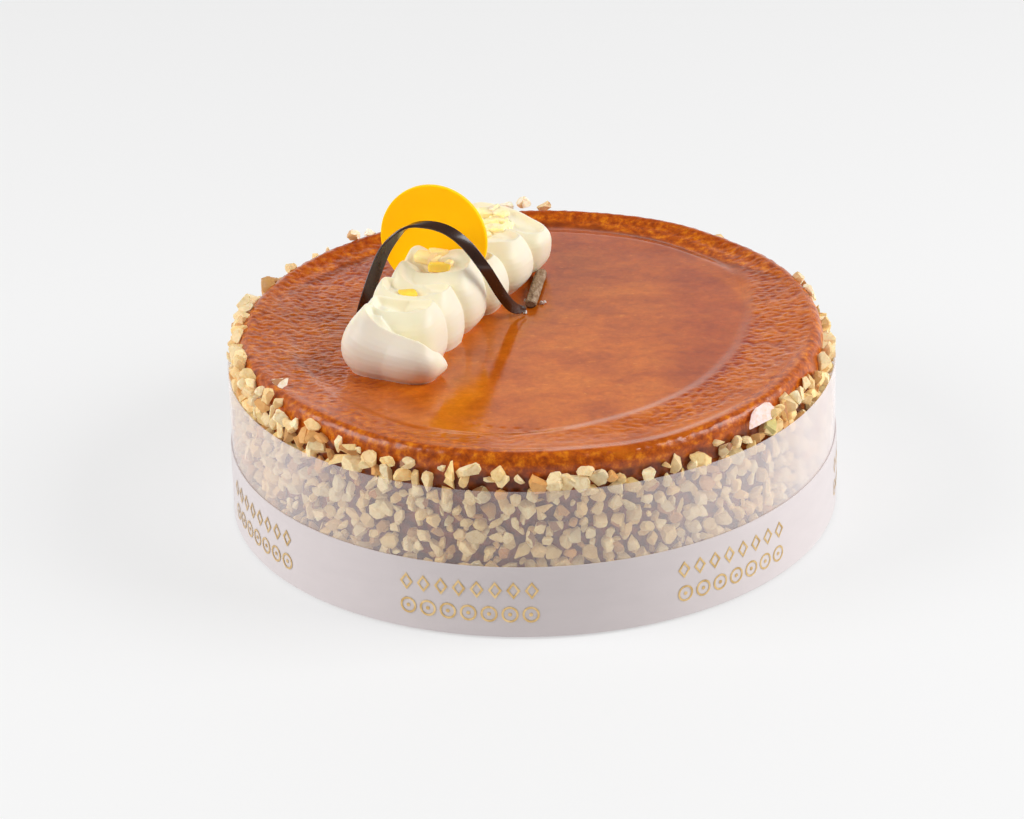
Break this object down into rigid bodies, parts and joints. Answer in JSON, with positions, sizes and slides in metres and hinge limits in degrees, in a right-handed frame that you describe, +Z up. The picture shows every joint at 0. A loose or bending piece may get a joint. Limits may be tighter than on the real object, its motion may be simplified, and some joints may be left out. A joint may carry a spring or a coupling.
{
  "type": "orange cake",
  "caption": "Low round glazed orange cake with a chopped nut side, film collar and ribbon, piped cream folds, a yellow chocolate disc, a chocolate arch and a stick.",
  "frame": {"origin": "centre of the cake's flat underside, on the surface that it stands on", "axes": "+Z up, -Y towards the front of the picture, +X to its right"},
  "size_m": [0.2, 0.2, 0.1042],
  "materials": {
    "cake_glaze": "clear orange glaze over a baked top, with cream-coloured chopped nuts on the side",
    "clear_film": "clear, slightly milky film",
    "white_satin": "white satin ribbon with small gold dots",
    "cream": "soft whipped cream with bits of yellow candied peel",
    "yellow_chocolate": "smooth, evenly coloured chocolate",
    "dark_chocolate": "glossy tempered chocolate",
    "dusted_chocolate": "dark stick with a rough, dusted bloom"
  },
  "bodies": {
    "root": {"cake": "cake_glaze", "film_collar": "clear_film", "ribbon_band": "white_satin", "cream": "cream", "orange_disc": "yellow_chocolate", "chocolate_strip": "dark_chocolate", "chocolate_stick": "dusted_chocolate"}
  },
  "joints": []
}
